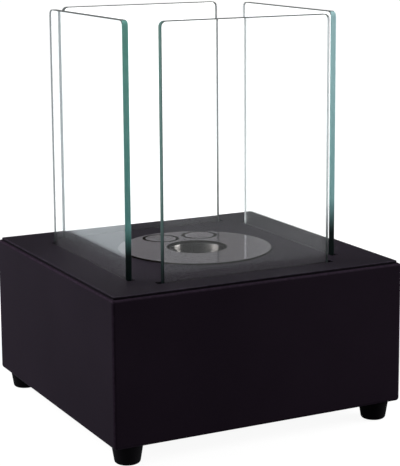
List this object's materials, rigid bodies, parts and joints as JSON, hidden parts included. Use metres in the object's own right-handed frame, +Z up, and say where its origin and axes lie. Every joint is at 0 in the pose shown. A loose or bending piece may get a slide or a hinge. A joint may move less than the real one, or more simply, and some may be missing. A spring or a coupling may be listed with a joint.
{
  "type": "bioethanol table fireplace",
  "caption": "Square table-top bioethanol fireplace: black steel base on rubber feet, lift-out glass panes round the flame and a drop-in round steel burner.",
  "frame": {"origin": "on the table, under the middle of the base", "axes": "+Z up, +X to the right along the front, +Y to the back"},
  "size_m": [0.2, 0.192, 0.26],
  "materials": {
    "housing_paint": "black powder coat, fine texture",
    "plate_paint": "black powder coat, fine texture",
    "glass": "clear tempered float glass with ground edges",
    "burner_steel": "circular satin brushing",
    "cup_steel": "deep-drawn stainless steel",
    "screen_steel": "perforated stainless sheet",
    "zinc_steel": "bright zinc plating",
    "silicone": "matt black silicone",
    "foot_rubber": "matt black moulded rubber",
    "ceramic_fibre": "white needled ceramic fibre"
  },
  "bodies": {
    "base": {"housing": "housing_paint", "top_plate": "plate_paint", "plate_studs": "zinc_steel", "foot_screws": "zinc_steel", "foot_washers": "zinc_steel", "channel_front": "zinc_steel", "channel_right": "zinc_steel", "channel_back": "zinc_steel", "channel_left": "zinc_steel", "liner_front": "silicone", "liner_right": "silicone", "liner_back": "silicone", "liner_left": "silicone", "foot_front_left": "foot_rubber", "foot_front_right": "foot_rubber", "foot_back_left": "foot_rubber", "foot_back_right": "foot_rubber", "post_front_left": "zinc_steel", "post_front_right": "zinc_steel", "post_back_left": "zinc_steel", "post_back_right": "zinc_steel"},
    "front_glass": {"pane_front": "glass"},
    "right_glass": {"pane_right": "glass"},
    "back_glass": {"pane_back": "glass"},
    "left_glass": {"pane_left": "glass"},
    "burner": {"burner_lid": "burner_steel", "burner_can": "cup_steel", "fuel_cup": "cup_steel", "ceramic_fibre": "ceramic_fibre", "fibre_screen": "screen_steel"}
  },
  "joints": [
    {"name": "lift_front_glass", "type": "slide", "parent": "base", "child": "front_glass", "axis": [0, 0, 1], "range_m": [0, 0.177]},
    {"name": "lift_right_glass", "type": "slide", "parent": "base", "child": "right_glass", "axis": [0, 0, 1], "range_m": [0, 0.177]},
    {"name": "lift_back_glass", "type": "slide", "parent": "base", "child": "back_glass", "axis": [0, 0, 1], "range_m": [0, 0.177]},
    {"name": "lift_left_glass", "type": "slide", "parent": "base", "child": "left_glass", "axis": [0, 0, 1], "range_m": [0, 0.177]},
    {"name": "lift_burner", "type": "slide", "parent": "base", "child": "burner", "axis": [0, 0, 1], "range_m": [0, 0.22]}
  ]
}
